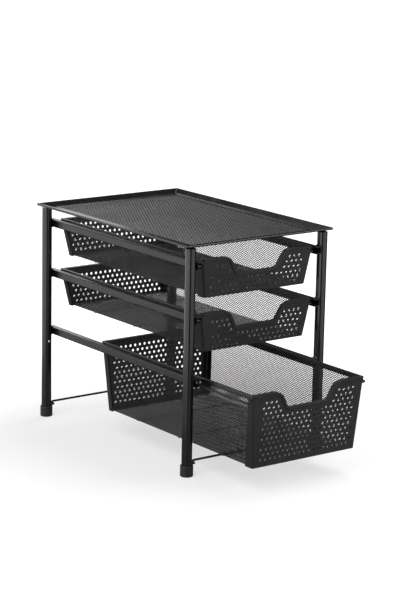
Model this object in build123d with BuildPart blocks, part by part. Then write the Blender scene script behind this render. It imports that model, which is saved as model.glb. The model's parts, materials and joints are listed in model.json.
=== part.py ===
"""Countertop organizer: a mesh tray on four tube legs, over three drawers that slide on channel rails.

Millimetres, +Z up, the front towards -Y. The origin lies on the table under the middle of the whole object,
with the lower drawer pulled out as it is stored.
"""
from build123d import *

import os
from dataclasses import dataclass
from math import copysign, hypot, radians, sin, sqrt, tan

# Sheet metal
sheet = 1.0
inner_bend = 2.0
net_sheet = 1.0

# Legs
leg_spacing_x = 252.0
leg_spacing_y = 390.0
leg_diameter = 16.0
leg_wall = 1.0
leg_top = 349.0
leg_seam = 110.5

# Sleeve inside the joint of each leg, and the spring button that locks it
sleeve_length = 62.0
sleeve_wall = 1.0
sleeve_clearance = 0.15
button_height = 127.3
button_diameter = 5.0
button_clearance = 0.2
button_rise = 2.3
button_dome = 1.8
button_leaf_width = 5.0
button_leaf_length = 26.0
button_leaf_sheet = 0.6
button_leaf_clearance = 0.15

# Foot caps
foot_diameter = 20.0
foot_height = 17.0
foot_floor = 2.5
foot_clearance = 0.1
foot_chamfer = 0.8
foot_rounding = 0.6

# Tray
tray_width = 281.0
tray_depth = 410.0
tray_rise = 6.5
tray_corner_radius = 3.5
lip_height = 3.6
lip_width = 3.0
lip_rounding = 1.3
slope_run = 11.4
slope_foot_radius = 2.0
border_width = 15.0
peg_length = 25.0
peg_clearance = 0.15

# Channel rails
rail_length = 406.0
rail_height = 11.5
rail_depth = 10.7
rail_inner_bend = 0.4
upper_rail_bottom = 316.5
middle_rail_bottom = 234.0
lower_rail_bottom = 138.0
rail_stop_depth = 6.0
rail_stop_sheet = 1.0
rail_stop_clearance = 0.4

# Cross rods near the table, with the cleats that take their hooked ends
rod_diameter = 3.5
rod_height = 22.8
rod_bend = 2.2
rod_clearance = 0.1
rod_seat_gap = 0.05
cleat_reach = 5.5
cleat_root_width = 9.0
cleat_tip_width = 6.4
cleat_floor = 0.9
cleat_foot_gap = 0.3

# Drawers
drawer_front_reach = 197.3
drawer_side_clearance = 1.1
rim_above_rail = 13.7
shallow_height = 60.2
shallow_depth = 383.8
shallow_bottom_half_width = 96.0
shallow_front_recess = 6.0
shallow_rear_recess = 9.5
deep_height = 113.4
deep_depth = 389.8
deep_bottom_half_width = 97.8
deep_front_recess = 8.0
deep_rear_recess = 8.5
lower_drawer_pull = 128.5

# Edges and flanges of the drawers
rim_band = 6.5
rim_width = 4.2
rim_inner_bend = 0.4
net_under_rim = 0.3
front_flange_top = 11.0
front_flange_bottom = 17.5
rear_flange = 12.0
bottom_flange = 10.0
turned_edge = 6.5
hem_width = 4.2
hem_rise = 1.2

# Runner wires
runner_diameter = 3.6
runner_clearance = 0.3
runner_side_clearance = 1.7
runner_bend = 4.0
runner_end_inset = 5.0

# Ribs under the drawer floors
rib_width = 2.4
rib_spacing = 110.0
rib_count = 3
rib_end_inset = 3.0

# Finger scoop
scoop_depth = 27.5
scoop_bottom_half_width = 38.0
scoop_slope = 62.0
scoop_foot_radius = 7.0
scoop_shoulder_radius = 20.0

# Round perforation of the front and back panels. Each drawer's pattern starts at its own drop below the rim,
# and its first row lies at its own distance beside the middle.
hole_diameter = 4.2
hole_pitch = 9.2
hole_stagger = 60.0
hole_last_row_margin = 5.0
hole_side_margin = 8.0
hole_hem_web = 0.3
upper_hole_top = 12.9
upper_hole_shift = -2.6
middle_hole_top = 15.1
middle_hole_shift = -0.7
lower_hole_top = 14.8
lower_hole_shift = 3.9

# Diamond gaps of the nets
net_gap_limit = 290
net_strand = 2.2
net_edge = 3.0

# How far the working solids that cut others reach past them
margin = 20.0

# Working sizes
leg_radius = leg_diameter / 2
leg_bore = leg_radius - leg_wall
sleeve_radius = leg_bore - sleeve_clearance
tray_top = leg_top + tray_rise
slope_inset = lip_width / 2
border_inset = slope_inset + slope_run
window_inset = border_inset + border_width
rail_web = leg_spacing_x / 2 - leg_radius
rim_half_width = rail_web - rail_depth - drawer_side_clearance
rim_inner = rim_half_width - rim_width
runner_radius = runner_diameter / 2
runner_x = rail_web - sheet - runner_side_clearance - runner_radius
runner_above_rail = sheet + runner_clearance + runner_radius
hole_row_pitch = hole_pitch * sin(radians(hole_stagger))

# The stored object reaches from the pulled drawer's hem to the tray's rear edge, with the origin midway
hem_reach = hem_rise * hypot(1, deep_front_recess / deep_height)
stand_y = (drawer_front_reach + hem_reach + lower_drawer_pull - tray_depth / 2) / 2


@dataclass(frozen=True)
class Leg:
    """One corner of the stand: side is -1 on the left, end is -1 at the front."""

    name: str
    side: int
    end: int

    @property
    def x(self):
        return self.side * leg_spacing_x / 2

    @property
    def y(self):
        return stand_y + self.end * leg_spacing_y / 2


@dataclass(frozen=True)
class Tub:
    """Sizes and place of one drawer, whose walls all lean outwards."""

    name: str
    rail_bottom: float
    height: float
    depth: float
    bottom_half_width: float
    front_recess: float
    rear_recess: float
    pull: float
    hole_top: float
    hole_shift: float

    @property
    def rim_top(self):
        return self.rail_bottom + rim_above_rail

    @property
    def bottom(self):
        return self.rim_top - self.height

    @property
    def front_edge(self):
        return stand_y - drawer_front_reach - self.pull

    @property
    def rear_edge(self):
        return self.front_edge + self.depth

    @property
    def middle(self):
        return (self.front_edge + self.rear_edge) / 2

    @property
    def runner_z(self):
        return self.rail_bottom + runner_above_rail

    def side_lean(self):
        return (rim_half_width - self.bottom_half_width) / self.height

    def half_width_at(self, level, inset=0.0):
        """Half width of a wall surface at a level above the bottom, moved in square to the wall."""
        lean = self.side_lean()
        return self.bottom_half_width + lean * level - inset * hypot(1, lean)

    def front_at(self, level, inset=0.0):
        lean = self.front_recess / self.height
        return self.front_edge + lean * (self.height - level) + inset * hypot(1, lean)

    def rear_at(self, level, inset=0.0):
        lean = self.rear_recess / self.height
        return self.rear_edge - lean * (self.height - level) - inset * hypot(1, lean)


legs = [
    Leg("front_left", -1, -1),
    Leg("front_right", 1, -1),
    Leg("rear_left", -1, 1),
    Leg("rear_right", 1, 1),
]

shallow_shape = (
    shallow_height,
    shallow_depth,
    shallow_bottom_half_width,
    shallow_front_recess,
    shallow_rear_recess,
)
deep_shape = (
    deep_height,
    deep_depth,
    deep_bottom_half_width,
    deep_front_recess,
    deep_rear_recess,
)
tubs = [
    Tub("upper", upper_rail_bottom, *shallow_shape, 0.0, upper_hole_top, upper_hole_shift),
    Tub("middle", middle_rail_bottom, *shallow_shape, 0.0, middle_hole_top, middle_hole_shift),
    Tub("lower", lower_rail_bottom, *deep_shape, lower_drawer_pull, lower_hole_top, lower_hole_shift),
]
sides = {"left": -1, "right": 1}
leg_centres = [(leg.x, leg.y) for leg in legs]

os.makedirs("parts", exist_ok=True)


def save(builder, name):
    """Labels a finished piece and writes it under its name."""
    builder.part.label = name
    export_step(builder.part, f"parts/{name}.step")


def upright(y):
    """Plane that faces the front at a depth, with its own X and Y along world X and Z."""
    return Plane((0, y, 0), x_dir=(1, 0, 0), z_dir=(0, -1, 0))


def tray_outline(height, inset, radius):
    """Rounded outline of the tray at a height, moved in from its outer edge."""
    with BuildSketch(Plane.XY.offset(height)) as outline:
        with Locations((0, stand_y)):
            RectangleRounded(tray_width - 2 * inset, tray_depth - 2 * inset, radius)
    return outline.sketch


def diamonds(length, height, centre_x, centre_y):
    """Cuts the staggered diamond gaps of a net into the sketch in hand, as many as fit inside its edge."""
    pitch = sqrt(2 * length * height / net_gap_limit)
    columns = int(length // pitch)
    rows = int(height // pitch)
    across = (length - 2 * net_edge) / columns
    along = (height - 2 * net_edge) / rows
    reach_x = (across - net_strand) / 2
    reach_y = (along - net_strand) / 2
    gap = [(reach_x, 0), (0, reach_y), (-reach_x, 0), (0, -reach_y)]
    with Locations((centre_x, centre_y)):
        with GridLocations(across, along, columns, rows):
            Polygon(*gap, mode=Mode.SUBTRACT)
        if rows > 1:
            with GridLocations(across, along, columns - 1, rows - 1):
                Polygon(*gap, mode=Mode.SUBTRACT)


def button_plane(leg):
    """Plane through a leg's axis at its button, facing the middle of the stand."""
    return Plane((leg.x, leg.y, button_height), x_dir=(leg.end, 0, 0), z_dir=(0, -leg.end, 0))


def button_holes(chosen_legs, radius):
    """Solid pins where the spring buttons pass through the tubes."""
    with BuildPart() as pins:
        for leg in chosen_legs:
            with BuildSketch(button_plane(leg)):
                Circle(radius)
            extrude(amount=leg_radius + button_rise)
    return pins.part


# Tray frame: sloped wall and flat border in one sheet, with a rolled lip round the outside
with BuildPart() as tray_frame:
    loft(
        [
            tray_outline(leg_top, border_inset, slope_foot_radius),
            tray_outline(tray_top, slope_inset, tray_corner_radius - slope_inset),
        ],
        ruled=True,
    )
    loft(
        [
            tray_outline(leg_top + sheet, border_inset, slope_foot_radius),
            tray_outline(tray_top + sheet, slope_inset, tray_corner_radius - slope_inset),
        ],
        ruled=True,
        mode=Mode.SUBTRACT,
    )
    with BuildSketch(Plane.XY.offset(tray_top - lip_height)) as lip_ring:
        with Locations((0, stand_y)):
            RectangleRounded(tray_width, tray_depth, tray_corner_radius)
            RectangleRounded(
                tray_width - 2 * lip_width,
                tray_depth - 2 * lip_width,
                tray_corner_radius - lip_width,
                mode=Mode.SUBTRACT,
            )
    extrude(amount=lip_height)
    with BuildSketch(Plane.XY.offset(leg_top)) as window:
        with Locations((0, stand_y)):
            Rectangle(tray_width - 2 * window_inset, tray_depth - 2 * window_inset)
    extrude(amount=sheet, mode=Mode.SUBTRACT)
    lip_faces = tray_frame.faces().filter_by(Axis.Z).sort_by(Axis.Z)[-2:]
    lip_edges = [edge for face in lip_faces for edge in face.outer_wire().edges()]
    fillet(lip_edges, radius=min(lip_rounding, lip_width / 2.2, lip_height / 2.2))
save(tray_frame, "tray_frame")

# Tray mesh: fills the window of the border
with BuildPart() as tray_mesh:
    net_length = tray_width - 2 * window_inset
    net_height = tray_depth - 2 * window_inset
    with BuildSketch(Plane.XY.offset(leg_top)) as tray_net:
        with Locations((0, stand_y)):
            Rectangle(net_length, net_height)
        diamonds(net_length, net_height, 0, stand_y)
    extrude(amount=net_sheet)
save(tray_mesh, "tray_mesh")

# Pegs under the tray, one in the top of each leg
with BuildPart() as tray_pegs:
    with BuildSketch(Plane.XY.offset(leg_top)) as peg_discs:
        with Locations(*leg_centres):
            Circle(leg_bore - peg_clearance)
    extrude(amount=-peg_length)
save(tray_pegs, "tray_pegs")

# Upper leg tubes, each with a hole for its spring button
for leg in legs:
    with BuildPart() as upper_leg:
        with BuildSketch(Plane.XY.offset(leg_seam)):
            with Locations((leg.x, leg.y)):
                Circle(leg_radius)
                Circle(leg_bore, mode=Mode.SUBTRACT)
        extrude(amount=leg_top - leg_seam)
        add(button_holes([leg], button_diameter / 2 + button_clearance), mode=Mode.SUBTRACT)
    save(upper_leg, f"upper_leg_{leg.name}")

# Lower leg tubes, which stand on the floor of the foot caps
for leg in legs:
    with BuildPart() as lower_leg:
        with BuildSketch(Plane.XY.offset(foot_floor)):
            with Locations((leg.x, leg.y)):
                Circle(leg_radius)
                Circle(leg_bore, mode=Mode.SUBTRACT)
        extrude(amount=leg_seam - foot_floor)
    save(lower_leg, f"lower_leg_{leg.name}")

# Sleeves across the leg joints
with BuildPart() as leg_sleeves:
    with BuildSketch(Plane.XY.offset(leg_seam - sleeve_length / 2)) as sleeve_rings:
        with Locations(*leg_centres):
            Circle(sleeve_radius)
            Circle(sleeve_radius - sleeve_wall, mode=Mode.SUBTRACT)
    extrude(amount=sleeve_length)
    add(button_holes(legs, button_diameter / 2 + button_clearance), mode=Mode.SUBTRACT)
save(leg_sleeves, "leg_sleeves")

# Spring buttons: a domed pin on a leaf that lies against the sleeve's wall
sleeve_bore = sleeve_radius - sleeve_wall
leaf_face = sqrt((sleeve_bore - button_leaf_clearance) ** 2 - (button_leaf_width / 2) ** 2)
for leg in legs:
    with BuildPart() as snap_button:
        with BuildSketch(button_plane(leg).offset(leaf_face)):
            Circle(button_diameter / 2)
        extrude(amount=leg_radius + button_rise - leaf_face)
        dome_edge = snap_button.edges().sort_by(Axis.Y)[0 if leg.end > 0 else -1]
        fillet(dome_edge, radius=min(button_dome, button_diameter / 2.2))
        with BuildSketch(button_plane(leg).offset(leaf_face - button_leaf_sheet)):
            with Locations((0, button_diameter / 2)):
                Rectangle(button_leaf_width, button_leaf_length, align=(Align.CENTER, Align.MAX))
        extrude(amount=button_leaf_sheet)
    save(snap_button, f"snap_button_{leg.name}")

# Foot caps
for leg in legs:
    with BuildPart() as foot:
        with BuildSketch():
            with Locations((leg.x, leg.y)):
                Circle(foot_diameter / 2)
        extrude(amount=foot_height)
        with BuildSketch(Plane.XY.offset(foot_floor)):
            with Locations((leg.x, leg.y)):
                Circle(leg_radius + foot_clearance)
        extrude(amount=foot_height, mode=Mode.SUBTRACT)
        chamfer(foot.faces().sort_by(Axis.Z)[0].outer_wire().edges(), length=foot_chamfer)
        foot_wall = foot_diameter / 2 - leg_radius - foot_clearance
        fillet(
            foot.faces().sort_by(Axis.Z)[-1].outer_wire().edges(),
            radius=min(foot_rounding, foot_wall / 2),
        )
    save(foot, f"foot_{leg.name}")

# Channel rails, open towards the drawers, with a stop lug that the runner's rear bend meets when shut
for tub in tubs:
    shut_runner_rear = stand_y - drawer_front_reach + tub.depth - runner_end_inset + runner_radius
    stop_front = shut_runner_rear + rail_stop_clearance
    for side_name, side in sides.items():
        with BuildPart() as rail:
            inner_align = (Align.MAX if side > 0 else Align.MIN, Align.MIN)
            outer, inner = (-1, -2) if side > 0 else (0, 1)
            with BuildSketch(upright(stand_y + rail_length / 2)) as rail_section:
                with Locations((side * rail_web, tub.rail_bottom)):
                    Rectangle(rail_depth, rail_height, align=inner_align)
                with Locations((side * (rail_web - sheet), tub.rail_bottom + sheet)):
                    Rectangle(rail_depth, rail_height - 2 * sheet, align=inner_align, mode=Mode.SUBTRACT)
                fillet(rail_section.vertices().group_by(Axis.X)[inner], radius=rail_inner_bend)
                fillet(rail_section.vertices().group_by(Axis.X)[outer], radius=rail_inner_bend + sheet)
            extrude(amount=rail_length)
            with BuildSketch(upright(stop_front)) as stop_lug:
                with Locations((side * (rail_web - sheet), tub.rail_bottom + sheet)):
                    Rectangle(rail_stop_depth, rail_height - 2 * sheet, align=inner_align)
            extrude(amount=-rail_stop_sheet)
        save(rail, f"{side_name}_rail_{tub.name}")

# Cross rods, hooked down into their cleats
rod_end_x = rail_web - cleat_reach / 2
cleat_bottom = foot_height + cleat_foot_gap
cleat_top = rod_height - rod_bend
rod_end_z = cleat_bottom + cleat_floor + rod_seat_gap
for end_name, end in (("front", -1), ("rear", 1)):
    with BuildPart() as cross_rod:
        rod_y = stand_y + end * leg_spacing_y / 2
        with BuildLine() as rod_line:
            FilletPolyline(
                (-rod_end_x, rod_y, rod_end_z),
                (-rod_end_x, rod_y, rod_height),
                (rod_end_x, rod_y, rod_height),
                (rod_end_x, rod_y, rod_end_z),
                radius=rod_bend,
            )
        with BuildSketch(Plane((-rod_end_x, rod_y, rod_end_z))):
            Circle(rod_diameter / 2)
        sweep()
    save(cross_rod, f"{end_name}_cross_rod")

# Cleats on the inner sides of the legs
with BuildPart() as rod_cleats:
    for leg in legs:
        with BuildSketch(Plane.XY.offset(cleat_bottom)):
            tip_x = leg.side * (rail_web - cleat_reach)
            Polygon(
                (leg.x, leg.y - cleat_root_width / 2),
                (tip_x, leg.y - cleat_tip_width / 2),
                (tip_x, leg.y + cleat_tip_width / 2),
                (leg.x, leg.y + cleat_root_width / 2),
            )
            with Locations((leg.x, leg.y)):
                Circle(leg_radius, mode=Mode.SUBTRACT)
        extrude(amount=cleat_top - cleat_bottom)
    with BuildSketch(Plane.XY.offset(cleat_bottom + cleat_floor)):
        with Locations(*[(leg.side * rod_end_x, leg.y) for leg in legs]):
            Circle(rod_diameter / 2 + rod_clearance)
    extrude(amount=cleat_top - cleat_bottom, mode=Mode.SUBTRACT)
save(rod_cleats, "rod_cleats")


def end_profile(tub, low, high, inset=0.0):
    """Side view of a tub between two levels, moved in at its front and rear, as a sketch in the YZ plane."""
    with BuildSketch(Plane.YZ) as profile:
        Polygon(
            (tub.front_at(low, inset), tub.bottom + low),
            (tub.rear_at(low, inset), tub.bottom + low),
            (tub.rear_at(high, inset), tub.bottom + high),
            (tub.front_at(high, inset), tub.bottom + high),
        )
    return profile.sketch


def side_profile(tub, low, high, inset=0.0):
    """Front view of a tub between two levels, moved in at its sides, as an upright sketch."""
    with BuildSketch(upright(tub.middle)) as profile:
        Polygon(
            (-tub.half_width_at(low, inset), tub.bottom + low),
            (tub.half_width_at(low, inset), tub.bottom + low),
            (tub.half_width_at(high, inset), tub.bottom + high),
            (-tub.half_width_at(high, inset), tub.bottom + high),
        )
    return profile.sketch


def tub_block(tub, low, high, inset=0.0):
    """Solid of a tub's outer shape between two levels, moved in from all four walls, with bent upright corners."""
    with BuildPart() as block:
        extrude(end_profile(tub, low, high, inset), amount=rim_half_width + margin, both=True)
        extrude(side_profile(tub, low, high, inset), amount=tub.depth, both=True, mode=Mode.INTERSECT)
        level_edges = block.edges().filter_by(Plane.XY)
        corner_edges = [edge for edge in block.edges() if edge not in level_edges]
        fillet(corner_edges, radius=inner_bend + sheet - inset)
    return block.part


def wide_block(tub, low, high, inset=0.0):
    """The same between the end walls alone, reaching past the side walls."""
    with BuildPart() as block:
        extrude(end_profile(tub, low, high, inset), amount=rim_half_width + margin, both=True)
    return block.part


def end_pan(tub, end):
    """Plate at one end of a tub, with flanges along its sides and its bottom."""
    if end < 0:
        plate_top = tub.front_edge
        plate_bottom = tub.front_at(0)
        flange_top = front_flange_top
        flange_bottom = front_flange_bottom
    else:
        plate_top = tub.rear_edge
        plate_bottom = tub.rear_at(0)
        flange_top = rear_flange
        flange_bottom = rear_flange
    outside = plate_top + end * margin
    with BuildPart() as pan:
        add(tub_block(tub, 0, tub.height))
        add(tub_block(tub, sheet, tub.height + sheet, sheet), mode=Mode.SUBTRACT)
        with BuildSketch(Plane.YZ) as region:
            Polygon(
                (outside, tub.bottom - margin),
                (plate_bottom - end * flange_bottom, tub.bottom - margin),
                (plate_bottom - end * flange_bottom, tub.bottom),
                (plate_top - end * flange_top, tub.rim_top),
                (plate_top - end * flange_top, tub.rim_top + margin),
                (outside, tub.rim_top + margin),
            )
        extrude(amount=rim_half_width + margin, both=True, mode=Mode.INTERSECT)
        add(wide_block(tub, tub.height - rim_band, tub.height + sheet, sheet), mode=Mode.SUBTRACT)
        with BuildSketch(Plane.XY.offset(tub.bottom)) as floor_window:
            with Locations((0, plate_bottom - end * bottom_flange)):
                Rectangle(
                    2 * tub.half_width_at(sheet, sheet),
                    tub.depth,
                    align=(Align.CENTER, Align.MIN if end < 0 else Align.MAX),
                )
        extrude(amount=sheet, mode=Mode.SUBTRACT)
    return pan.part


def scoop_face(tub):
    """Draws the finger scoop, with the space above it, into the upright sketch in hand."""
    foot_z = tub.rim_top - scoop_depth
    shoulder = scoop_bottom_half_width + scoop_depth / tan(radians(scoop_slope))
    with BuildLine() as outline:
        FilletPolyline(
            (-rim_inner, tub.rim_top),
            (-shoulder, tub.rim_top),
            (-scoop_bottom_half_width, foot_z),
            (scoop_bottom_half_width, foot_z),
            (shoulder, tub.rim_top),
            (rim_inner, tub.rim_top),
            radius=[scoop_shoulder_radius, scoop_foot_radius, scoop_foot_radius, scoop_shoulder_radius],
        )
        Polyline(
            (rim_inner, tub.rim_top),
            (rim_inner, tub.rim_top + margin),
            (-rim_inner, tub.rim_top + margin),
            (-rim_inner, tub.rim_top),
        )
    make_face(outline.edges())


def along_edge(tub, width):
    """Sketch of a band of a given width along the panel's top edge and scoop, with the scoop's own space."""
    with BuildSketch(upright(tub.front_edge)) as band:
        scoop_face(tub)
        offset(amount=width)
        with Locations((0, tub.rim_top)):
            Rectangle(
                2 * rim_inner,
                scoop_depth + margin,
                align=(Align.CENTER, Align.MAX),
                mode=Mode.INTERSECT,
            )
    return band.sketch


def front_hem(tub):
    """Edge of the front panel that stands proud of the plate, down to half the plate's thickness."""
    with BuildPart() as hem:
        extrude(along_edge(tub, hem_width), amount=margin, both=True)
        add(wide_block(tub, 0, tub.height, -hem_rise), mode=Mode.INTERSECT)
        add(wide_block(tub, 0, tub.height, sheet / 2), mode=Mode.SUBTRACT)
    return hem.part


def clear_of_scoop(x, drop):
    """Whether a hole at a place across the panel and a drop below the rim clears the scoop's hem by its web."""
    needed = hole_diameter / 2 + hem_width + hole_hem_web
    if drop > scoop_depth + needed:
        return True
    slope = radians(scoop_slope)
    edge = scoop_bottom_half_width + (scoop_depth - drop) / tan(slope)
    return abs(x) > edge + needed / sin(slope)


def perforation(tub, plane_y, scooped):
    """Sketch of a panel's staggered round holes."""
    rows = int((tub.height - tub.hole_top - hole_last_row_margin) // hole_row_pitch) + 1
    columns = int(2 * (tub.bottom_half_width - hole_side_margin) // hole_pitch)
    centres = []
    for row in range(rows):
        drop = tub.hole_top + row * hole_row_pitch
        shift = tub.hole_shift
        if row % 2 == 1:
            shift -= copysign(hole_pitch / 2, tub.hole_shift)
        for column in range(columns):
            x = (column - (columns - 1) / 2) * hole_pitch + shift
            if not scooped or clear_of_scoop(x, drop):
                centres.append((x, tub.rim_top - drop))
    with BuildSketch(upright(plane_y)) as pattern:
        with Locations(*centres):
            Circle(hole_diameter / 2)
    return pattern.sketch


for tub in tubs:
    # Front panel: perforated plate with flanges, and a hemmed edge that turns inwards along the rim and the scoop
    with BuildPart() as front_panel:
        extrude(along_edge(tub, sheet), amount=-tub.depth / 2)
        add(wide_block(tub, 0, tub.height), mode=Mode.INTERSECT)
        add(wide_block(tub, 0, tub.height, turned_edge), mode=Mode.SUBTRACT)
        add(end_pan(tub, -1))
        add(front_hem(tub))
        with BuildSketch(upright(tub.front_edge)) as scoop:
            scoop_face(tub)
        extrude(amount=tub.depth / 2, both=True, mode=Mode.SUBTRACT)
        extrude(perforation(tub, tub.front_edge, True), amount=margin, both=True, mode=Mode.SUBTRACT)
    save(front_panel, f"{tub.name}_front_panel")

    # Back panel: the same plate with a straight turned edge
    with BuildPart() as back_panel:
        with BuildSketch(upright(tub.rear_edge)) as turned:
            with Locations((0, tub.rim_top)):
                Rectangle(2 * rim_inner, sheet, align=(Align.CENTER, Align.MAX))
        extrude(amount=tub.depth / 2)
        add(wide_block(tub, 0, tub.height), mode=Mode.INTERSECT)
        add(wide_block(tub, 0, tub.height, turned_edge), mode=Mode.SUBTRACT)
        add(end_pan(tub, 1))
        extrude(perforation(tub, tub.rear_edge, False), amount=margin, both=True, mode=Mode.SUBTRACT)
    save(back_panel, f"{tub.name}_back_panel")

    # Mesh sides, behind the flanges and up into the rims
    net_end = sheet + inner_bend
    wall_low = sheet
    wall_high = tub.height - sheet - net_under_rim
    along_wall = hypot(1, tub.side_lean())
    for side_name, side in sides.items():
        with BuildPart() as side_mesh:
            wall_plane = Plane(
                (side * tub.half_width_at(0, sheet), tub.middle, tub.bottom),
                x_dir=(0, side, 0),
                z_dir=(side, 0, -tub.side_lean()),
            )
            with BuildSketch(wall_plane) as side_net:
                corners = [
                    (side * (tub.front_at(wall_low, net_end) - tub.middle), wall_low * along_wall),
                    (side * (tub.rear_at(wall_low, net_end) - tub.middle), wall_low * along_wall),
                    (side * (tub.rear_at(wall_high, net_end) - tub.middle), wall_high * along_wall),
                    (side * (tub.front_at(wall_high, net_end) - tub.middle), wall_high * along_wall),
                ]
                Polygon(*corners)
                net_length = tub.rear_at(wall_low, net_end) - tub.front_at(wall_low, net_end)
                net_height = (wall_high - rim_band) * along_wall
                net_centre = (wall_low + (wall_high - rim_band) / 2) * along_wall
                diamonds(net_length, net_height, 0, net_centre)
            extrude(amount=-net_sheet)
        save(side_mesh, f"{tub.name}_{side_name}_mesh")

    # Mesh floor, on the bottom flanges and the ribs
    with BuildPart() as floor_mesh:
        floor_half_width = tub.half_width_at(sheet, sheet + net_sheet)
        floor_front = tub.front_at(sheet, sheet)
        floor_rear = tub.rear_at(sheet, sheet)
        with BuildSketch(Plane.XY.offset(tub.bottom + sheet)) as floor_net:
            with Locations((0, (floor_front + floor_rear) / 2)):
                Rectangle(2 * floor_half_width, floor_rear - floor_front)
            diamonds(2 * floor_half_width, floor_rear - floor_front, 0, (floor_front + floor_rear) / 2)
        extrude(amount=net_sheet)
    save(floor_mesh, f"{tub.name}_floor_mesh")

    # Ribs across the underside of the floor
    with BuildPart() as floor_ribs:
        with BuildSketch(Plane.XY.offset(tub.bottom)) as rib_bars:
            with Locations((0, tub.middle)):
                with GridLocations(rib_spacing, rib_spacing, 1, rib_count):
                    Rectangle(2 * (tub.bottom_half_width - rib_end_inset), rib_width)
        extrude(amount=sheet)
    save(floor_ribs, f"{tub.name}_floor_ribs")

    # Rims: a strip folded over the top edge of each side's mesh, from the front panel to the back panel
    for side_name, side in sides.items():
        with BuildPart() as rim:
            inner_align = (Align.MAX if side > 0 else Align.MIN, Align.MAX)
            with BuildSketch(upright(tub.middle)) as rim_section:
                with Locations((side * rim_half_width, tub.rim_top)):
                    Rectangle(rim_width, rim_band, align=inner_align)
                fillet(rim_section.vertices().group_by(Axis.Y)[-1], radius=rim_inner_bend + sheet)
                with Locations((side * (rim_half_width - sheet), tub.rim_top - sheet)):
                    with BuildSketch(mode=Mode.PRIVATE) as rim_slot:
                        Rectangle(rim_width - 2 * sheet, rim_band, align=inner_align)
                        fillet(rim_slot.vertices().group_by(Axis.Y)[-1], radius=rim_inner_bend)
                    add(rim_slot.sketch, mode=Mode.SUBTRACT)
            extrude(amount=tub.depth, both=True)
            add(wide_block(tub, tub.height - rim_band, tub.height, sheet), mode=Mode.INTERSECT)
        save(rim, f"{tub.name}_{side_name}_rim")

    # Runner wires, bent in at both ends to the flanges of the panels
    for side_name, side in sides.items():
        with BuildPart() as runner:
            front_end = (side * rim_inner, tub.front_edge + runner_end_inset, tub.runner_z)
            front_corner = (side * runner_x, tub.front_edge + runner_end_inset, tub.runner_z)
            rear_corner = (side * runner_x, tub.rear_edge - runner_end_inset, tub.runner_z)
            rear_end = (side * rim_inner, tub.rear_edge - runner_end_inset, tub.runner_z)
            with BuildLine() as runner_line:
                FilletPolyline(front_end, front_corner, rear_corner, rear_end, radius=runner_bend)
            with BuildSketch(Plane(front_end, x_dir=(0, 1, 0), z_dir=(side, 0, 0))):
                Circle(runner_radius)
            sweep()
            add(tub_block(tub, 0, tub.height), mode=Mode.SUBTRACT)
        save(runner, f"{tub.name}_{side_name}_runner")
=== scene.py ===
"""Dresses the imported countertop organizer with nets, weld beads, powder coat, floor, light and camera.

Metres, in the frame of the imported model: +Z up, the drawers' fronts towards -Y.
"""
import json
from math import asin, cos, hypot, pi, radians, sin, tan

import bpy
from mathutils import Matrix, Vector


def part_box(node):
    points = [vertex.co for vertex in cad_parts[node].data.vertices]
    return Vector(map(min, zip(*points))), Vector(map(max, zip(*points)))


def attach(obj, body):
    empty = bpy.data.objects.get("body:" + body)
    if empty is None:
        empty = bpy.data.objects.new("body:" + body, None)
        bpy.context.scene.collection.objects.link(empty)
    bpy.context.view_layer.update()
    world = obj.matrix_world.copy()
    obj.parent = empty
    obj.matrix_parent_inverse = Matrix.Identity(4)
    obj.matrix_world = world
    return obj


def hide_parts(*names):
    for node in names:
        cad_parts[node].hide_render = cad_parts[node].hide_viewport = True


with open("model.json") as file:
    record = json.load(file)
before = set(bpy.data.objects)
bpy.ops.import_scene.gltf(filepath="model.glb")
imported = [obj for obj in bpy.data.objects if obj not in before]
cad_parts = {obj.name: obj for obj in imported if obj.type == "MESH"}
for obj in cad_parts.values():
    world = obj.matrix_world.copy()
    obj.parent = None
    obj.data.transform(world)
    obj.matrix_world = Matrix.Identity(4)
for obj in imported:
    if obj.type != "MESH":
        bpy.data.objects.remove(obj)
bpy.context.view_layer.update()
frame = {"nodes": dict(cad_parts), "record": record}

MM = 0.001
ALONG_X, ALONG_Y = Vector((1, 0, 0)), Vector((0, 1, 0))
nodes = frame["nodes"]
drawers = ("upper", "middle", "lower")
hands = {"left": -1, "right": 1}


def mesh_object(name, points, faces):
    """Object of one new mesh, linked to the scene."""
    mesh = bpy.data.meshes.new(name)
    mesh.from_pydata(points, [], faces)
    mesh.update()
    made = bpy.data.objects.new(name, mesh)
    bpy.context.scene.collection.objects.link(made)
    return made


# Shapes of the drawers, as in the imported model
HEM_RISE = 1.2 * MM
RIM_HALF = 106.2 * MM
# Half the bottom's width, and how far the front and the back lean in on their way down
SHAPES = {
    "upper": {"half": 96.0 * MM, "front": 6.0 * MM, "rear": 9.5 * MM},
    "middle": {"half": 96.0 * MM, "front": 6.0 * MM, "rear": 9.5 * MM},
    "lower": {"half": 97.8 * MM, "front": 8.0 * MM, "rear": 8.5 * MM},
}


def levels(name):
    """Levels of a drawer's bottom and rim, and its plates' outer faces at the rim, from its panels' boxes."""
    front_low, front_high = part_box(f"{name}_front_panel")
    rear_low, rear_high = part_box(f"{name}_back_panel")
    return {"bottom": front_low.z, "top": front_high.z, "front": front_low.y + HEM_RISE, "rear": rear_high.y}


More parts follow.
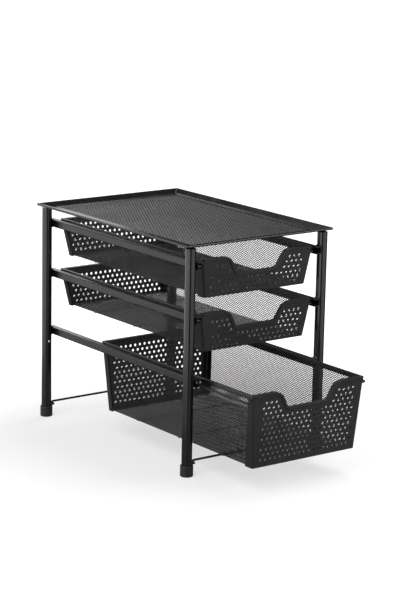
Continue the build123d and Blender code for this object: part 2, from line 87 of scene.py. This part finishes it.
# Expanded metal
def expanded_metal(name, inside, place, half_columns, rows, long_way, short_way, strand, thickness, twist):
    """Net of slit and stretched sheet as one closed mesh.

    Columns and rows lie half a way apart, with a knuckle where column + row is even. inside(u, v) says which
    knuckles are there. place(u, v) gives the middle surface's point, its two directions and its normal,
    which is their cross product, so that the faces look outwards.
    """
    half_u, half_v = long_way / 2, short_way / 2
    slant = half_u * half_v / hypot(half_u, half_v)
    closed = strand / (2 * slant)
    arm_u, arm_v = closed * half_u, closed * half_v
    present = {}
    for row in range(rows[0], rows[1] + 1):
        for column in range(-half_columns, half_columns + 1):
            if (column + row) % 2 == 0 and inside(column * half_u, row * half_v):
                present[(column, row)] = len(present)

    # Four corners at each knuckle, front and back: right, top, left, bottom
    right, top, left, bottom = range(4)
    offsets = ((arm_u, 0.0, 0.0), (0.0, arm_v, twist), (-arm_u, 0.0, 0.0), (0.0, -arm_v, -twist))
    points = []
    for column, row in present:
        at, along_u, along_v, normal = place(column * half_u, row * half_v)
        for face in (0.5, -0.5):
            for du, dv, lift in offsets:
                points.append(tuple(at + along_u * du + along_v * dv + normal * (face * thickness + lift)))

    def corner(key, which, back):
        return present[key] * 8 + back * 4 + which

    faces = []

    def slab(loop):
        faces.append([corner(key, which, 0) for key, which in loop])
        faces.append([corner(key, which, 1) for key, which in reversed(loop)])

    def wall(a, b):
        faces.append([corner(*b, 0), corner(*a, 0), corner(*a, 1), corner(*b, 1)])

    for key in present:
        column, row = key
        slab([(key, right), (key, top), (key, left), (key, bottom)])
        north_east, south_east = (column + 1, row + 1), (column + 1, row - 1)
        north_west, south_west = (column - 1, row + 1), (column - 1, row - 1)
        if north_east in present:
            slab([(key, right), (north_east, bottom), (north_east, left), (key, top)])
            wall((key, right), (north_east, bottom))
            wall((north_east, left), (key, top))
        else:
            wall((key, right), (key, top))
        if south_east in present:
            slab([(key, bottom), (south_east, left), (south_east, top), (key, right)])
            wall((key, bottom), (south_east, left))
            wall((south_east, top), (key, right))
        else:
            wall((key, bottom), (key, right))
        if north_west not in present:
            wall((key, top), (key, left))
        if south_west not in present:
            wall((key, left), (key, bottom))
    return mesh_object(name, points, faces)


def steps(reach, way):
    """Columns or rows that cover a reach, with two to spare, which inside() then leaves out."""
    return int(reach / (way / 2)) + 2


# The drawers' nets: inset and bend of the middle surface, and its gaps from the plates' faces and the rim
NET_INSET = 1.45 * MM
NET_BEND = 2.4 * MM
NET_END_GAP = 2.3 * MM
NET_RIM_GAP = 1.6 * MM
DRAWER_NET = {
    "long_way": 6.0 * MM, "short_way": 3.55 * MM,
    "strand": 1.08 * MM, "thickness": 0.34 * MM, "twist": -0.08 * MM,
}


def section(shape, span):
    """Bent section of a drawer's net: a function from distance to point, direction and normal, and the seam.

    The distance is 0 at the middle of the floor and grows towards +X and up the side. The normal looks out
    of the drawer.
    """
    height = span["top"] - span["bottom"]
    lean = (RIM_HALF - shape["half"]) / height
    up = Vector((lean, 0, 1)).normalized()
    floor_z = span["bottom"] + NET_INSET
    # Where the two straight runs of the middle surface would cross
    cross_x = shape["half"] + lean * NET_INSET - NET_INSET * hypot(1, lean)
    turn = pi / 2 - asin(lean / hypot(1, lean))
    setback = NET_BEND * tan(turn / 2)
    flat = cross_x - setback
    arc = NET_BEND * turn
    side_start = Vector((cross_x, 0, floor_z)) + up * setback

    def at(distance):
        s = abs(distance)
        if s <= flat:
            point, along = Vector((s, 0, floor_z)), ALONG_X
        elif s <= flat + arc:
            angle = (s - flat) / NET_BEND
            point = Vector((flat + NET_BEND * sin(angle), 0, floor_z + NET_BEND * (1 - cos(angle))))
            along = Vector((cos(angle), 0, sin(angle)))
        else:
            point, along = side_start + up * (s - flat - arc), up
        if distance < 0:
            point, along = Vector((-point.x, 0, point.z)), Vector((along.x, 0, -along.z))
        return point, along, Vector((along.z, 0, -along.x))

    return at, flat + arc / 2


def drawer_nets(drawer):
    """Left, floor and right net of one drawer, which meet at the seams in its bends."""
    span = levels(drawer)
    shape = SHAPES[drawer]
    height = span["top"] - span["bottom"]
    middle_y = (span["front"] + span["rear"]) / 2
    at, seam = section(shape, span)

    def place(u, v):
        point, along, normal = at(v)
        return Vector((point.x, middle_y + u, point.z)), ALONG_Y, along, normal

    def within(u, v):
        level = at(v)[0].z - span["bottom"]
        if level > height - NET_RIM_GAP:
            return False
        front = span["front"] + shape["front"] * (1 - level / height) + NET_END_GAP
        rear = span["rear"] - shape["rear"] * (1 - level / height) - NET_END_GAP
        return front <= middle_y + u <= rear

    half_columns = steps((span["rear"] - span["front"]) / 2, DRAWER_NET["long_way"])
    half_rows = steps(seam + hypot(height, RIM_HALF - shape["half"]), DRAWER_NET["short_way"])
    seam_row = round(seam / (DRAWER_NET["short_way"] / 2))
    made = []
    for part, rows in (
        ("left", (-half_rows, -seam_row)),
        ("floor", (-seam_row, seam_row)),
        ("right", (seam_row, half_rows)),
    ):
        net = expanded_metal(f"{drawer}_{part}_net", within, place, half_columns, rows, **DRAWER_NET)
        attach(net, f"{drawer}_drawer")
        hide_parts(f"{drawer}_{part}_mesh")
        made.append(net)
    return made


nets = [net for drawer in drawers for net in drawer_nets(drawer)]

# The tray's net is coarser, and its cut edge lies within the sheet of the border
TRAY_NET = {
    "long_way": 9.1 * MM, "short_way": 5.2 * MM,
    "strand": 0.78 * MM, "thickness": 0.4 * MM, "twist": -0.34 * MM,
}
window_low, window_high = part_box("tray_mesh")
window_middle = (window_low + window_high) / 2
window_half = (window_high - window_low) / 2
tray_reach = window_half + Vector((TRAY_NET["short_way"], TRAY_NET["long_way"], 0)) / 2
tray_rows = steps(window_half.x, TRAY_NET["short_way"])
tray_net = expanded_metal(
    "tray_net",
    lambda u, v: abs(u) <= tray_reach.y and abs(v) <= tray_reach.x,
    lambda u, v: (window_middle + Vector((v, u, 0)), ALONG_Y, ALONG_X, Vector((0, 0, -1))),
    steps(window_half.y, TRAY_NET["long_way"]), (-tray_rows, tray_rows), **TRAY_NET,
)
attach(tray_net, "stand")
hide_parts("tray_mesh")
nets.append(tray_net)


# Weld beads: sections round the tube, points in each, how far they go round, and what is sunk in the metal
BEAD_ROUNDS, BEAD_STEPS = 18, 8
BEAD_SPREAD = radians(46)
BEAD_SINK = 0.1 * MM
LEAST_FADE, FADE_POWER = 0.02, 0.7
SLOW_RIPPLE, QUICK_RIPPLE = 0.07, 0.04


def weld_bead(name, centre, radius, inward, base_z, rise, reach, upward):
    """Concave bead between a leg's tube and a rail's flange, fading out round the tube, as a closed mesh."""
    points, faces = [], []
    for i in range(BEAD_ROUNDS + 1):
        swing = -BEAD_SPREAD + 2 * BEAD_SPREAD * i / BEAD_ROUNDS
        fade = max(cos(swing / BEAD_SPREAD * pi / 2), LEAST_FADE) ** FADE_POWER
        # The slow waves start elsewhere at each level
        ripple = 1 + SLOW_RIPPLE * sin(9.0 * swing + base_z * 900) + QUICK_RIPPLE * sin(23.0 * swing)
        direction = Vector((inward * cos(swing), sin(swing), 0))
        for k in range(BEAD_STEPS + 1):
            angle = pi / 2 * k / BEAD_STEPS
            out = reach * fade * ripple * (1 - cos(angle)) - BEAD_SINK * (k == 0)
            lift = rise * fade * ripple * (1 - sin(angle))
            point = centre + direction * (radius + out)
            points.append((point.x, point.y, base_z + upward * lift))
        hidden = centre + direction * (radius - BEAD_SINK)
        points.append((hidden.x, hidden.y, base_z - upward * BEAD_SINK))
    ring = BEAD_STEPS + 2
    for i in range(BEAD_ROUNDS):
        for k in range(ring):
            a, b = i * ring + k, i * ring + (k + 1) % ring
            faces.append((a, b, b + ring, a + ring))
    faces.append(tuple(reversed(range(ring))))
    faces.append(tuple(range(BEAD_ROUNDS * ring, BEAD_ROUNDS * ring + ring)))
    # The section runs the other way round on one side, and again under a rail
    if inward * upward < 0:
        faces = [tuple(reversed(face)) for face in faces]
    bead = mesh_object(name, points, faces)
    for polygon in bead.data.polygons[:-2]:
        polygon.use_smooth = True
    return bead


beads = []
for level in drawers:
    for hand, side in hands.items():
        rail_low, rail_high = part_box(f"{hand}_rail_{level}")
        for end in ("front", "rear"):
            leg_low, leg_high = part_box(f"upper_leg_{end}_{hand}")
            centre = Vector(((leg_low.x + leg_high.x) / 2, (leg_low.y + leg_high.y) / 2, 0))
            radius = (leg_high.x - leg_low.x) / 2
            for edge, base_z, rise, reach, upward in (
                ("top", rail_high.z, 5.0 * MM, 4.2 * MM, 1),
                ("bottom", rail_low.z, 2.6 * MM, 2.4 * MM, -1),
            ):
                name = f"weld_{level}_{end}_{hand}_{edge}"
                bead = weld_bead(name, centre, radius, -side, base_z, rise, reach, upward)
                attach(bead, "stand")
                beads.append(bead)


# Materials
# Places of the colour sockets of a Mix node
MIX_FACTOR, MIX_FIRST, MIX_SECOND = 0, 6, 7
MIX_RESULT = 2


class NodeTree:
    """A node tree, with short calls to add and link nodes."""

    def __init__(self, tree, output):
        self.tree = tree
        self.tree.nodes.clear()
        self.output = self.add(output)

    def add(self, kind, **settings):
        node = self.tree.nodes.new(kind)
        for key, value in settings.items():
            setattr(node, key, value)
        return node

    def link(self, source, target):
        self.tree.links.new(source, target)

    def fill(self, slot, value):
        """Sets a plain value on an input, or links another node's output to it."""
        if isinstance(value, (int, float, tuple)):
            slot.default_value = value
        else:
            self.link(value, slot)

    def noise(self, coordinate, scale, detail, roughness=0.5):
        node = self.add("ShaderNodeTexNoise")
        node.inputs["Scale"].default_value = scale
        node.inputs["Detail"].default_value = detail
        node.inputs["Roughness"].default_value = roughness
        self.link(coordinate, node.inputs["Vector"])
        return node.outputs["Fac"]

    def ramp(self, value, start, end):
        """Value from start's two numbers carried over to end's two, and clamped there."""
        node = self.add("ShaderNodeMapRange", clamp=True)
        for key, number in zip(("From Min", "From Max", "To Min", "To Max"), start + end):
            node.inputs[key].default_value = number
        self.link(value, node.inputs["Value"])
        return node.outputs["Result"]

    def math(self, operation, first, second):
        node = self.add("ShaderNodeMath", operation=operation)
        self.fill(node.inputs[0], first)
        self.fill(node.inputs[1], second)
        return node.outputs["Value"]

    def mix(self, factor, first, second):
        node = self.add("ShaderNodeMix", data_type="RGBA")
        self.fill(node.inputs[MIX_FACTOR], factor)
        self.fill(node.inputs[MIX_FIRST], first)
        self.fill(node.inputs[MIX_SECOND], second)
        return node.outputs[MIX_RESULT]


class Shader(NodeTree):
    """The node tree of a new material."""

    def __init__(self, name):
        self.material = bpy.data.materials.new(name)
        self.material.use_nodes = True
        super().__init__(self.material.node_tree, "ShaderNodeOutputMaterial")


def tint(rgb, gain):
    return (rgb[0] * gain, rgb[1] * gain, rgb[2] * gain, 1.0)


# Powder coat: scales are waves in a metre, shades are gains of the base colour, gloss adds to the roughness
FULL = (0.0, 1.0)
NOISE_SPAN = (0.3, 0.7)
PATCH_SCALE, SPECK_SCALE = 14.0, 900.0
PATCH_SHADES = (0.86, 1.14)
PATCH_GLOSS, SPECK_GLOSS = (-0.04, 0.05), (-0.03, 0.03)
PEEL_HEIGHT, SPECK_HEIGHT = 0.7, 0.3
# Cosine between the rounded and the flat normal, from no paler edge to a fully pale one: wear and painted
# highlight
EDGE_BEND = (0.97, 0.75)
EDGE_NOISE, EDGE_WEAR_AND_HIGHLIGHT_SPAN, EDGE_WEAR_AND_HIGHLIGHT_GAIN = (0.35, 0.6), (0.3, 1.0), 2.2
# Share of the surroundings that is open, from no painted shade in a crease to full painted shade
PAINTED_SHADE_OPEN = (0.92, 0.6)
PAINTED_SHADE_GAIN, CREASE_DULLING = 0.05, 0.5


def powder_coat(
    name, base, rough, specular=0.5, peel=260.0, depth=0.05, edge=0.0, metallic=0.0, painted_shade_reach=0.0,
):
    """Powder coat over metal: orange peel, fine grain, uneven gloss, edges pale with wear and painted
    highlight, creases duller and darkened with painted shade.
    """
    s = Shader(name)
    where = s.add("ShaderNodeTexCoord").outputs["Object"]
    bsdf = s.add("ShaderNodeBsdfPrincipled")
    bsdf.inputs["Metallic"].default_value = metallic
    bsdf.inputs["Specular IOR Level"].default_value = specular
    patches = s.noise(where, PATCH_SCALE, detail=4.0, roughness=0.6)
    fine = s.noise(where, peel, detail=3.0)
    speck = s.noise(where, SPECK_SCALE, detail=2.0)
    dark, pale = (tint(base, gain) for gain in PATCH_SHADES)
    shade = s.mix(s.ramp(patches, NOISE_SPAN, FULL), dark, pale)
    gloss = s.math("ADD", s.ramp(patches, NOISE_SPAN, PATCH_GLOSS), s.ramp(speck, NOISE_SPAN, SPECK_GLOSS))
    height = s.math("ADD", s.math("MULTIPLY", fine, PEEL_HEIGHT), s.math("MULTIPLY", speck, SPECK_HEIGHT))
    bump = s.add("ShaderNodeBump")
    bump.inputs["Strength"].default_value = 1.0
    bump.inputs["Distance"].default_value = depth * MM
    s.link(height, bump.inputs["Height"])
    if edge > 0:
        round_edge = s.add("ShaderNodeBevel", samples=4)
        round_edge.inputs["Radius"].default_value = edge
        s.link(round_edge.outputs["Normal"], bump.inputs["Normal"])
        flat = s.add("ShaderNodeNewGeometry").outputs["Normal"]
        dot = s.add("ShaderNodeVectorMath", operation="DOT_PRODUCT")
        s.link(round_edge.outputs["Normal"], dot.inputs[0])
        s.link(flat, dot.inputs[1])
        bent = s.ramp(dot.outputs["Value"], EDGE_BEND, FULL)
        # Paler edges: partly wear, partly a painted highlight where the rounded edges would catch light
        wear_and_highlight = s.math("MULTIPLY", bent, s.ramp(fine, EDGE_NOISE, EDGE_WEAR_AND_HIGHLIGHT_SPAN))
        shade = s.mix(wear_and_highlight, shade, tint(base, EDGE_WEAR_AND_HIGHLIGHT_GAIN))
    # Painted shade: the colour darkens where nearby surfaces close in, in creases and along the hem's step,
    # where shade falls; the coat there is also duller
    if painted_shade_reach > 0:
        nearness = s.add("ShaderNodeAmbientOcclusion", samples=8, only_local=True)
        nearness.inputs["Distance"].default_value = painted_shade_reach
        closed = s.ramp(nearness.outputs["AO"], PAINTED_SHADE_OPEN, FULL)
        shade = s.mix(closed, shade, tint(base, PAINTED_SHADE_GAIN))
        gloss = s.math("ADD", gloss, s.math("MULTIPLY", closed, CREASE_DULLING))
    s.link(shade, bsdf.inputs["Base Color"])
    s.link(s.math("ADD", gloss, rough), bsdf.inputs["Roughness"])
    s.link(bump.outputs["Normal"], bsdf.inputs["Normal"])
    s.link(bsdf.outputs["BSDF"], s.output.inputs["Surface"])
    return s.material


BLACK = (0.008, 0.008, 0.009)
EDGE = 0.35 * MM
# Reach of the painted shade in the panels' creases
PAINTED_SHADE_REACH = 1.8 * MM
materials = {
    "black_tube": powder_coat("black_tube_coat", BLACK, 0.17, specular=0.85, edge=EDGE),
    "black_sheet": powder_coat("black_sheet_coat", BLACK, 0.22, specular=0.7, edge=EDGE),
    "black_rail": powder_coat("black_rail_coat", (0.008, 0.009, 0.010), 0.28, edge=EDGE),
    "black_panel": powder_coat("black_panel_coat", (0.026, 0.027, 0.029), 0.34, edge=EDGE, painted_shade_reach=PAINTED_SHADE_REACH),
    "black_mesh": powder_coat("black_mesh_coat", BLACK, 0.3, specular=0.9),
    "black_wire": powder_coat("black_wire_coat", BLACK, 0.24),
    "foot_plastic": powder_coat(
        "foot_plastic", (0.020, 0.020, 0.021), 0.48, peel=420.0, depth=0.08, edge=EDGE,
    ),
    "bright_button": powder_coat("bright_button", (0.72, 0.73, 0.74), 0.16, depth=0.01, metallic=1.0),
}
slot_of = {row["node"]: row["material_slot"] for row in frame["record"]["subparts"]}
for node_name, node in nodes.items():
    node.data.materials.clear()
    node.data.materials.append(materials[slot_of[node_name]])
for net in nets:
    net.data.materials.append(materials["black_mesh"])
for bead in beads:
    bead.data.materials.append(materials["black_rail"])


# Floor, world and light
def stage_mesh(name, points, faces, material):
    card = mesh_object(name, points, faces)
    card.data.materials.append(material)
    return card


def seen_directly(s):
    """1 for camera, glossy and transmission rays, and 0 for the rays that carry light to the object."""
    light_path = s.add("ShaderNodeLightPath")
    seen = light_path.outputs["Is Camera Ray"]
    for kind in ("Is Glossy Ray", "Is Transmission Ray"):
        seen = s.math("MAXIMUM", seen, light_path.outputs[kind])
    return seen


# The floor lies a little under the feet. Its white grows from the first to the second distance.
FLOOR_HALF, FLOOR_LEVEL = 12.0, -0.0002
FLOOR_ALBEDO = 0.42
FLOOR_LIFT = 0.60
LIFT_DISTANCES = (0.33, 0.68)
s = Shader("pale_floor")
diffuse = s.add("ShaderNodeBsdfDiffuse")
diffuse.inputs["Color"].default_value = (FLOOR_ALBEDO, FLOOR_ALBEDO, FLOOR_ALBEDO, 1.0)
glow = s.add("ShaderNodeEmission")
where = s.add("ShaderNodeTexCoord").outputs["Object"]
length = s.add("ShaderNodeVectorMath", operation="LENGTH")
s.link(where, length.inputs[0])
lift = s.ramp(length.outputs["Value"], LIFT_DISTANCES, (FLOOR_LIFT, 1.0))
s.link(s.math("MULTIPLY", seen_directly(s), lift), glow.inputs["Strength"])
both = s.add("ShaderNodeAddShader")
s.link(diffuse.outputs["BSDF"], both.inputs[0])
s.link(glow.outputs["Emission"], both.inputs[1])
s.link(both.outputs["Shader"], s.output.inputs["Surface"])
corners = [(FLOOR_HALF * x, FLOOR_HALF * y, FLOOR_LEVEL) for x, y in ((-1, -1), (1, -1), (1, 1), (-1, 1))]
floor = stage_mesh("floor", corners, [(0, 1, 2, 3)], s.material)
floor.visible_glossy = False

AMBIENT = 0.58
world = bpy.data.worlds.new("studio")
bpy.context.scene.world = world
world.use_nodes = True
sky = NodeTree(world.node_tree, "ShaderNodeOutputWorld")
background = sky.add("ShaderNodeBackground")
strength = sky.math("ADD", sky.math("MULTIPLY", seen_directly(sky), 1.0 - AMBIENT), AMBIENT)
sky.link(strength, background.inputs["Strength"])
sky.link(background.outputs["Background"], sky.output.inputs["Surface"])

LAMP_TARGET = Vector((0.0, 0.0, 0.15))


def square_lamp(name, place, side, watts, glossy=True):
    lamp = bpy.data.lights.new(name, "AREA")
    lamp.shape = "RECTANGLE"
    lamp.size = lamp.size_y = side
    lamp.energy = watts
    lamp_object = bpy.data.objects.new(name, lamp)
    lamp_object.location = place
    lamp_object.rotation_euler = (LAMP_TARGET - Vector(place)).to_track_quat("-Z", "Y").to_euler()
    lamp_object.visible_glossy = glossy
    bpy.context.scene.collection.objects.link(lamp_object)


square_lamp("key", (-1.6, -0.6, 2.2), side=1.4, watts=22.0)
square_lamp("right", (1.0, 0.2, 2.3), side=1.6, watts=30.0, glossy=False)
square_lamp("fill", (1.4, -1.9, 1.5), side=1.2, watts=16.0)

CARD_SPANS = 24


def reflected_card(name, azimuths, line, radiance):
    """Card swept round the object along a section of (reach, level) points, which only reflections see.

    Azimuth 0 faces the fronts, and it grows towards +X.
    """
    s = Shader(name)
    glow = s.add("ShaderNodeEmission")
    glow.inputs["Strength"].default_value = radiance
    s.link(glow.outputs["Emission"], s.output.inputs["Surface"])
    points, faces = [], []
    for i in range(CARD_SPANS + 1):
        angle = radians(azimuths[0] + (azimuths[1] - azimuths[0]) * i / CARD_SPANS)
        for reach, z in line:
            points.append((reach * sin(angle), -reach * cos(angle), z))
    for i in range(CARD_SPANS):
        for k in range(len(line) - 1):
            a = i * len(line) + k
            faces.append((a, a + len(line), a + len(line) + 1, a + 1))
    card = stage_mesh(name, points, faces, s.material)
    card.visible_camera = False
    card.visible_diffuse = False
    card.visible_transmission = False
    card.visible_shadow = False


reflected_card("flag_behind_camera", (-46, -17), ((4.0, -3.0), (4.0, 3.0)), radiance=0.02)
reflected_card("flag_right", (60, 147), ((4.0, -3.0), (4.0, 4.0), (0.2, 4.0)), radiance=0.03)
reflected_card("softbox_left", (-217, -46), ((4.2, -3.0), (4.2, 3.0)), radiance=1.3)
# These three face the strands and the slopes of the tray, and the last one the fronts
reflected_card("softbox_rear", (149, 172), ((4.1, -0.4), (4.1, 0.5)), radiance=4.5)
reflected_card("flag_high", (158, 184), ((4.1, 1.9), (4.1, 4.6)), radiance=0.02)
reflected_card("softbox_high", (154, 205), ((4.1, 4.7), (1.0, 4.7)), radiance=2.1)
reflected_card("flag_below", (-180, 180), ((0.01, -0.86), (3.9, -0.86)), radiance=0.1)


# Camera at the photograph's viewing angle
CAMERA_PLACE = Vector((-1.921268, -2.544699, 0.961247))
YAW, PITCH, ROLL = 0.64537, 0.22570, 0.02023
SENSOR = 36.0
FOCAL_PIXELS, IMAGE_HEIGHT = 2090.05383, 601
FARTHEST = 60.0
forward = Vector((sin(YAW) * cos(PITCH), cos(YAW) * cos(PITCH), -sin(PITCH)))
level_right = Vector((cos(YAW), -sin(YAW), 0))
level_up = level_right.cross(forward)
right = level_right * cos(ROLL) + level_up * sin(ROLL)
up = level_up * cos(ROLL) - level_right * sin(ROLL)
camera_data = bpy.data.cameras.new("camera")
camera_data.sensor_fit = "VERTICAL"
camera_data.sensor_height = SENSOR
camera_data.lens = FOCAL_PIXELS / IMAGE_HEIGHT * SENSOR
camera_data.clip_end = FARTHEST
camera = bpy.data.objects.new("camera", camera_data)
turn = Matrix((right, up, -forward)).transposed()
camera.matrix_world = Matrix.Translation(CAMERA_PLACE) @ turn.to_4x4()
bpy.context.scene.collection.objects.link(camera)
bpy.context.scene.camera = camera
bpy.context.scene.view_settings.view_transform = "Standard"
